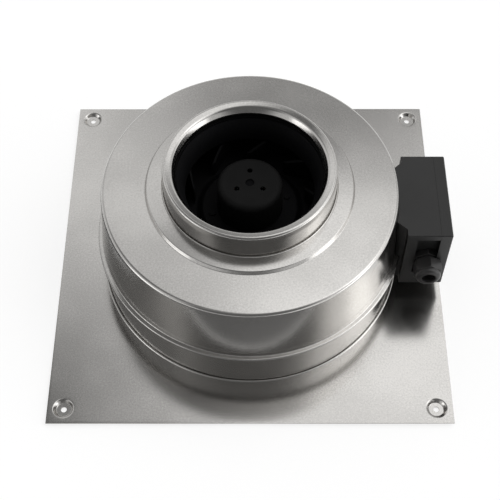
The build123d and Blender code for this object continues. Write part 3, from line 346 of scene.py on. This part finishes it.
MATERIALS = {
    "galvanised_sheet": zinc_sheet,
    "galvanised_pressing": lambda: metal("zinc_pressing", (0.55, 0.54, 0.53), 0.34, 420.0),
    # The nozzle and the wheel take the near-black that is black plastic plus painted shade of the throat
    "black_moulding": lambda: moulding("nozzle_black_and_shade", finish("wheel"), 0.6, 900.0, 0.00003, 0.06),
    "wheel_moulding": lambda: moulding("wheel_black_and_shade", finish("wheel"), 0.6, 700.0, 0.00003, 0.08),
    "box_moulding": lambda: moulding("box_black", finish("moulding"), 0.45, 1400.0, 0.00004),
    "gland_moulding": lambda: moulding("gland_black", (0.035, 0.034, 0.034), 0.30, 900.0, 0.00002),
    "seal_rubber": lambda: moulding("seal_black", (0.010, 0.010, 0.010), 0.65, 600.0, 0.00004),
    "grommet_rubber": lambda: moulding("rubber_black", (0.014, 0.014, 0.014), 0.7, 600.0, 0.00004),
    "lead_sheath": lambda: moulding("sheath_black", (0.018, 0.018, 0.018), 0.5, 500.0, 0.00003),
    "clip_moulding": lambda: moulding("clip_black", (0.03, 0.03, 0.03), 0.45, 600.0, 0.00002),
    "rotor_paint": lambda: moulding("rotor_black", finish("rotor"), 0.5, 1200.0, 0.00003, 0.05),
    "zinc_steel": lambda: metal("zinc_steel", (0.62, 0.62, 0.60), 0.25, 900.0),
    "rivet_steel": lambda: metal("rivet_steel", (0.56, 0.56, 0.55), 0.3, 900.0),
    "die_cast": lambda: metal("die_cast", (0.52, 0.52, 0.53), 0.45, 500.0),
    "lamination": lambda: metal("lamination", (0.22, 0.22, 0.24), 0.4, 900.0),
    "winding_wire": lambda: metal("winding_wire", (0.50, 0.20, 0.08), 0.35, 1500.0),
    "spring_steel": lambda: metal("spring_steel", (0.28, 0.28, 0.29), 0.3, 900.0),
    "bearing_steel": lambda: metal("bearing_steel", (0.66, 0.66, 0.67), 0.15, 1500.0),
    "cage_brass": lambda: metal("cage_brass", (0.68, 0.50, 0.22), 0.3, 900.0),
    "shaft_steel": lambda: shaft("shaft_steel", (0.58, 0.58, 0.59), 0.22, 1500.0),
    "terminal_moulding": lambda: moulding("terminal_pale", (0.70, 0.69, 0.64), 0.45, 900.0, 0.00002),
    "terminal_brass": lambda: metal("terminal_brass", (0.62, 0.47, 0.23), 0.3, 900.0),
    "capacitor_case": lambda: moulding("capacitor_pale", (0.72, 0.72, 0.70), 0.35, 600.0, 0.00002),
}
# Rivets that are painted with the wheel's near-black, which carries painted shade of the throat, though their
# slot is bare steel
PAINTED_AND_SHADED = {"wheel_rivets": "wheel_moulding"}
finished = {}


def material(slot):
    """The finish of a slot of the record, made once."""
    if slot not in finished:
        finished[slot] = MATERIALS[slot]()
    return finished[slot]


def slot_of(node):
    """The record's slot of a CAD node."""
    return next(s["material_slot"] for s in frame["record"]["subparts"] if s["node"] == node)


def body_of(node):
    """The body that a CAD node rides on."""
    bodies = frame["record"]["behaviour"]["bodies"]
    return next(name for name, members in bodies.items() if node in members)


def add_piece(name, bm, node, sharp=35.0, sheet=0.0, bevel=0.0):
    """Makes the mesh an object in the node's place, with its finish and modifiers."""
    mesh = bpy.data.meshes.new(name)
    bm.to_mesh(mesh)
    bm.free()
    mesh.shade_smooth()
    mesh.set_sharp_from_angle(angle=math.radians(sharp))
    piece = bpy.data.objects.new(name, mesh)
    bpy.context.scene.collection.objects.link(piece)
    if sheet:
        wall = piece.modifiers.new("Sheet", "SOLIDIFY")
        wall.thickness = sheet
        wall.offset = -1
        wall.use_even_offset = True
    if bevel:
        edge = piece.modifiers.new("Edges", "BEVEL")
        edge.width = bevel
        edge.segments = 2
        edge.limit_method = "ANGLE"
        edge.angle_limit = math.radians(sharp)
    shade = piece.modifiers.new("Shading", "WEIGHTED_NORMAL")
    shade.keep_sharp = True
    mesh.materials.append(material(PAINTED_AND_SHADED.get(node, slot_of(node))))
    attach(piece, body_of(node))
    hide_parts(node)
    return piece


def spin_skin(points, bends, steps=ROUND_STEPS, centre=(0, 0)):
    """A bmesh of a bent sheet's skin: corners are rounded, and faces look to the right of the path."""
    bm = bmesh.new()
    path = [bm.verts.new((r, 0, z)) for r, z in points]
    lines = [bm.edges.new(pair) for pair in zip(path, path[1:])]
    bmesh.ops.spin(
        bm, geom=path + lines, cent=(0, 0, 0), axis=(0, 0, 1), angle=TURN, steps=steps, use_merge=True)
    bmesh.ops.recalc_face_normals(bm, faces=bm.faces[:])
    (r0, z0), (r1, z1) = points[:2]
    for face in bm.faces:
        middle = face.calc_center_median()
        radius = math.hypot(middle.x, middle.y)
        if abs(middle.z - (z0 + z1) / 2) < 1e-5 and abs(radius - (r0 + r1) / 2) < 1e-4:
            outward = Vector((middle.x, middle.y, 0)).normalized() * (z1 - z0) + Vector((0, 0, r0 - r1))
            if face.normal.dot(outward) < 0:
                bmesh.ops.reverse_faces(bm, faces=bm.faces[:])
            break
    for i, bend in enumerate(bends, start=1):
        if bend:
            round_ring(bm, points[i - 1], points[i], points[i + 1], bend)
    bmesh.ops.translate(bm, verts=bm.verts[:], vec=(centre[0], centre[1], 0))
    return bm


def round_ring(bm, before, corner, after, bend):
    """Rounds the ring of edges at one corner of a spun skin."""
    ring = [
        edge for edge in bm.edges
        if all(
            abs(math.hypot(v.co.x, v.co.y) - corner[0]) < 2e-6 and abs(v.co.z - corner[1]) < 2e-6
            for v in edge.verts
        )
    ]
    first = Vector((corner[0] - before[0], corner[1] - before[1]))
    second = Vector((after[0] - corner[0], after[1] - corner[1]))
    turn = first.angle(second)
    bmesh.ops.bevel(
        bm, geom=ring, offset=bend * math.tan(turn / 2), offset_type="OFFSET",
        segments=max(3, round(turn / math.radians(9))), profile=0.5, affect="EDGES", material=-1,
    )


def copy_of(node, merge=1e-5):
    """A merged bmesh copy of a CAD node's mesh, with flat faces joined."""
    bm = bmesh.new()
    bm.from_mesh(nodes[node].data)
    bm.transform(nodes[node].matrix_world)
    bmesh.ops.remove_doubles(bm, verts=bm.verts[:], dist=merge)
    bmesh.ops.dissolve_limit(bm, angle_limit=math.radians(1.0), verts=bm.verts[:], edges=bm.edges[:])
    return bm


class FanOperator(bpy.types.Operator):
    """What the operators that make pieces share"""
    bl_idname = "fan.base"
    bl_label = "Fan piece"

    def execute(self, context):
        self.make(context.scene.fan_sizes)
        return {"FINISHED"}


class FAN_OT_wall_plate(FanOperator):
    """Square sheet with pressed corner dimples, the outlet opening and a locating bead"""
    bl_idname = "fan.wall_plate"
    bl_label = "Wall plate"

    def make(self, size):
        top = FOOT_LEVEL
        bead = size.band_radius + size.bead_radius
        arc = [math.pi * i / BEAD_STEPS for i in range(BEAD_STEPS + 1)]
        ridge = [(bead - size.bead_radius * math.cos(a), top + size.bead_radius * math.sin(a)) for a in arc]
        middle = [(size.outlet_radius, top)] + ridge + [(bead + size.bead_margin, top)]
        bm = spin_skin(middle[::-1], [0] * len(middle))
        cup = [
            (size.hole_radius, top - size.dimple_depth),
            (size.dimple_floor, top - size.dimple_depth),
            (size.dimple_rim, top),
            (size.dimple_rim + size.dimple_margin, top),
        ]
        bends = [size.dimple_floor_bend, size.dimple_rim_bend]
        for sx in (-1, 1):
            for sy in (-1, 1):
                place = (sx * size.hole_spacing / 2, sy * size.hole_spacing / 2)
                self.join(bm, spin_skin(cup[::-1], bends, steps=DIMPLE_STEPS, centre=place))
        self.fill(bm, size, top)
        add_piece("plate_sheet", bm, "wall_plate", sharp=50.0, sheet=size.plate_sheet, bevel=size.plate_edge)

    def join(self, bm, part):
        """Adds one bmesh to another."""
        mesh = bpy.data.meshes.new("part")
        part.to_mesh(mesh)
        part.free()
        bm.from_mesh(mesh)
        bpy.data.meshes.remove(mesh)

    def fill(self, bm, size, top):
        """Fills the flat of the plate between its outline and the round parts."""
        half = size.plate_side / 2
        rims = [
            e for e in bm.edges
            if e.is_boundary and all(abs(v.co.z - top) < 1e-6 for v in e.verts)
            and math.hypot(*e.verts[0].co.xy) > size.outlet_radius + MM
        ]
        corners = [bm.verts.new((x * half, y * half, top)) for x, y in ((-1, -1), (1, -1), (1, 1), (-1, 1))]
        outline = [bm.edges.new((corners[i], corners[(i + 1) % 4])) for i in range(4)]
        bmesh.ops.triangle_fill(bm, use_beauty=True, use_dissolve=False, edges=rims + outline)
        bmesh.ops.recalc_face_normals(bm, faces=bm.faces[:])
        if sum(f.normal.z * f.calc_area() for f in bm.faces) < 0:
            bmesh.ops.reverse_faces(bm, faces=bm.faces[:])


class FAN_OT_rear_casing(FanOperator):
    """Straight band with its foot flange and seam flange"""
    bl_idname = "fan.rear_casing"
    bl_label = "Rear casing"

    def make(self, size):
        flange = BAND_HIGH[2] - size.rear_sheet
        bm = spin_skin(
            [
                (size.band_radius - size.foot_flange, BAND_LOW[2]),
                (size.band_radius, BAND_LOW[2]),
                (size.band_radius, flange),
                (BAND_HIGH[0], flange),
            ],
            [size.foot_bend, size.seam_flange_bend],
        )
        add_piece("band_sheet", bm, "rear_casing", sheet=size.rear_sheet)


class FAN_OT_front_casing(FanOperator):
    """Front shell with its hem, sloping wall, rounded rim, annulus and collar"""
    bl_idname = "fan.front_casing"
    bl_label = "Front casing"

    def make(self, size):
        seam_top = FOOT_LEVEL + size.seam_height
        seam = SHELL_HIGH[0]
        rim = FOOT_LEVEL + size.casing_height
        step = rim + size.annulus_rise
        hole = size.spigot_radius + size.spigot_foot_bend
        slope = size.collar_rise / (size.step_top - size.spigot_radius)
        collar = step + size.step_height + slope * (size.step_top - hole)
        bm = spin_skin(
            [
                (size.band_radius + size.hem_reach, seam_top - size.seam_depth),
                (seam, seam_top - size.seam_depth),
                (seam, seam_top),
                (size.band_radius - size.wall_foot_inset, seam_top),
                (size.rim_radius, rim),
                (size.step_foot, step),
                (size.step_top, step + size.step_height),
                (hole, collar),
                (hole, collar - size.front_sheet),
            ],
            [
                size.hem_bend,
                size.hem_bend,
                size.wall_foot_bend,
                size.rim_bend,
                size.step_foot_bend,
                size.step_top_bend,
                size.collar_hole_bend,
            ],
        )
        add_piece("front_shell", bm, "front_casing", sharp=60.0, sheet=size.front_sheet)


class FAN_OT_inlet_spigot(FanOperator):
    """Duct spigot with its foot flange and its lip rolled inwards"""
    bl_idname = "fan.inlet_spigot"
    bl_label = "Inlet spigot"

    def make(self, size):
        corner = SPIGOT_HIGH[2] + size.lip_rise
        flange = SPIGOT_LOW[2] + size.front_sheet
        slope = size.collar_rise / (size.step_top - size.spigot_radius)
        bm = spin_skin(
            [
                (SPIGOT_HIGH[0], flange),
                (size.spigot_radius, flange + slope * (SPIGOT_HIGH[0] - size.spigot_radius)),
                (size.spigot_radius, corner - size.lip_taper),
                (size.lip_crest, corner),
                (size.lip_shoulder, corner - size.lip_fall),
                (size.lip_throat, corner - size.lip_dive),
                (size.lip_edge, corner - size.lip_drop),
            ],
            [
                size.spigot_foot_bend,
                size.lip_taper_bend,
                size.lip_outer_bend,
                size.lip_inner_bend,
                size.lip_inner_bend,
            ],
        )
        add_piece("spigot_sheet", bm, "inlet_spigot", sharp=60.0, sheet=size.front_sheet)


class FAN_OT_cad_pieces(FanOperator):
    """Every other piece, smoothed and given fine edges"""
    bl_idname = "fan.cad_pieces"
    bl_label = "Mouldings and fittings"

    # Bevels in millimetres
    edges = {
        "box_base": 0.5, "box_lid": 0.5, "gland_nut": 0.35, "gland_body": 0.3, "motor_bracket": 0.3,
        "rotor_can": 0.2, "impeller_wheel": 0.2, "stator_flange": 0.3, "terminal_block": 0.2,
        "lead_clips": 0.2, "run_capacitor": 0.2,
    }

    def make(self, size):
        for node in nodes:
            if not nodes[node].hide_render:
                bevel = self.edges.get(node, 0) * MM
                add_piece(node + "_piece", copy_of(node), node, sharp=40.0, bevel=bevel)


class FAN_OT_stage(bpy.types.Operator):
    """Pale floor, soft studio light, white background and the camera"""
    bl_idname = "fan.stage"
    bl_label = "Stage"

    def execute(self, context):
        stage = context.scene.fan_stage
        context.scene.view_settings.view_transform = "Standard"
        self.camera(context, stage)
        self.floor(stage)
        self.flags(stage)
        self.world(context)
        return {"FINISHED"}

    def camera(self, context, stage):
        data = bpy.data.cameras.new("camera")
        data.sensor_width = 36
        data.lens = stage.focal
        data.clip_start = 0.01
        camera = bpy.data.objects.new("camera", data)
        context.scene.collection.objects.link(camera)
        away = Vector((
            math.sin(stage.yaw) * math.cos(stage.elevation),
            -math.cos(stage.yaw) * math.cos(stage.elevation),
            math.sin(stage.elevation),
        ))
        target = Vector((0, stage.aim, FOOT_LEVEL))
        facing = (-away).to_track_quat("-Z", "Y").to_matrix().to_4x4()
        camera.matrix_world = (
            Matrix.Translation(target + away * stage.distance) @ facing @ Matrix.Rotation(stage.roll, 4, "Z")
        )
        context.scene.camera = camera

    def floor(self, stage):
        """Pale floor that shows white and keeps the shadow, and stays dark under the wall plate."""
        bm = bmesh.new()
        bmesh.ops.create_grid(bm, x_segments=1, y_segments=1, size=3.0)
        made, g = new_material("floor")
        looks = [g.node("ShaderNodeLightPath", out=ray) for ray in SEEING_RAYS]
        radius = g.node("ShaderNodeVectorMath", {"operation": "LENGTH"}, {0: g.place()}, out=1)
        seen = (looks[0] + looks[1] + looks[2]) * stage.floor_glow * radius.ramp(*GLOW_FROM)
        matt = g.node("ShaderNodeBsdfDiffuse", inputs={"Color": rgba(stage.floor)})
        glow = g.node("ShaderNodeEmission", inputs={"Color": (1, 1, 1, 1), "Strength": seen})
        both = g.node("ShaderNodeAddShader", inputs={0: matt, 1: glow})
        g.node("ShaderNodeOutputMaterial", inputs={"Surface": both})
        self.card("floor", bm, made)

    def flags(self, stage):
        """Dark cards on the floor that only the metal's reflections see, as a photographer sets them."""
        for name, x0, x1, y0, y1, grey in FLAGS:
            made, g = new_material(name)
            matt = g.node("ShaderNodeBsdfDiffuse", inputs={"Color": rgba((grey, grey, grey), stage.flag)})
            g.node("ShaderNodeOutputMaterial", inputs={"Surface": matt})
            bm = bmesh.new()
            bmesh.ops.create_grid(bm, x_segments=1, y_segments=1, size=0.5)
            bmesh.ops.scale(bm, vec=(x1 - x0, y1 - y0, 1), verts=bm.verts[:])
            bmesh.ops.translate(bm, vec=((x0 + x1) / 2, (y0 + y1) / 2, MM), verts=bm.verts[:])
            card = self.card(name, bm, made)
            for ray in ("visible_camera", "visible_diffuse", "visible_shadow", "visible_transmission"):
                setattr(card, ray, False)

    def card(self, name, bm, made):
        """A flat piece of the stage."""
        mesh = bpy.data.meshes.new(name)
        bm.to_mesh(mesh)
        bm.free()
        mesh.materials.append(made)
        card = bpy.data.objects.new(name, mesh)
        bpy.context.scene.collection.objects.link(card)
        return card

    def world(self, context):
        world = bpy.data.worlds.new("studio")
        world.use_nodes = True
        context.scene.world = world
        g = Graph(world.node_tree)
        way = g.node("ShaderNodeTexCoord", out=0)
        total = STUDIO_LEVEL
        for turn, rise, near, far, level in STUDIO:
            turn, rise, near, far = (math.radians(angle) for angle in (turn, rise, near, far))
            aim = Vector((math.cos(rise) * math.sin(turn), math.cos(rise) * math.cos(turn), math.sin(rise)))
            toward = g.node("ShaderNodeVectorMath", {"operation": "DOT_PRODUCT"}, {0: way, 1: aim}, out=1)
            total = toward.ramp(math.cos(far), math.cos(near)) * level + total
        back = g.node("ShaderNodeBackground", inputs={"Strength": total.math("MAXIMUM", STUDIO_DARKEST)})
        g.node("ShaderNodeOutputWorld", inputs={"Surface": back})


class FAN_PT_panel(bpy.types.Panel):
    bl_idname = "FAN_PT_panel"
    bl_label = "Wall fan"
    bl_space_type = "VIEW_3D"
    bl_region_type = "UI"
    bl_category = "Wall fan"

    def draw(self, context):
        for group in (context.scene.fan_sizes, context.scene.fan_finish, context.scene.fan_stage):
            for key in group.bl_rna.properties.keys():
                if key not in ("rna_type", "name"):
                    self.layout.prop(group, key)
        for operator in OPERATORS:
            self.layout.operator(operator.bl_idname)


OPERATORS = (
    FAN_OT_stage, FAN_OT_wall_plate, FAN_OT_rear_casing, FAN_OT_front_casing, FAN_OT_inlet_spigot,
    FAN_OT_cad_pieces,
)
GROUPS = {"fan_sizes": FanSizes, "fan_finish": FanFinish, "fan_stage": FanStage}


def register():
    for name, group in GROUPS.items():
        bpy.utils.register_class(group)
        setattr(bpy.types.Scene, name, PointerProperty(type=group))
    for made in (*OPERATORS, FAN_PT_panel):
        bpy.utils.register_class(made)


def unregister():
    for made in (*OPERATORS, FAN_PT_panel):
        bpy.utils.unregister_class(made)
    for name, group in GROUPS.items():
        delattr(bpy.types.Scene, name)
        bpy.utils.unregister_class(group)


def main():
    register()
    for operator in OPERATORS:
        group, name = operator.bl_idname.split(".")
        getattr(getattr(bpy.ops, group), name)()


if __name__ == "__main__":
    main()
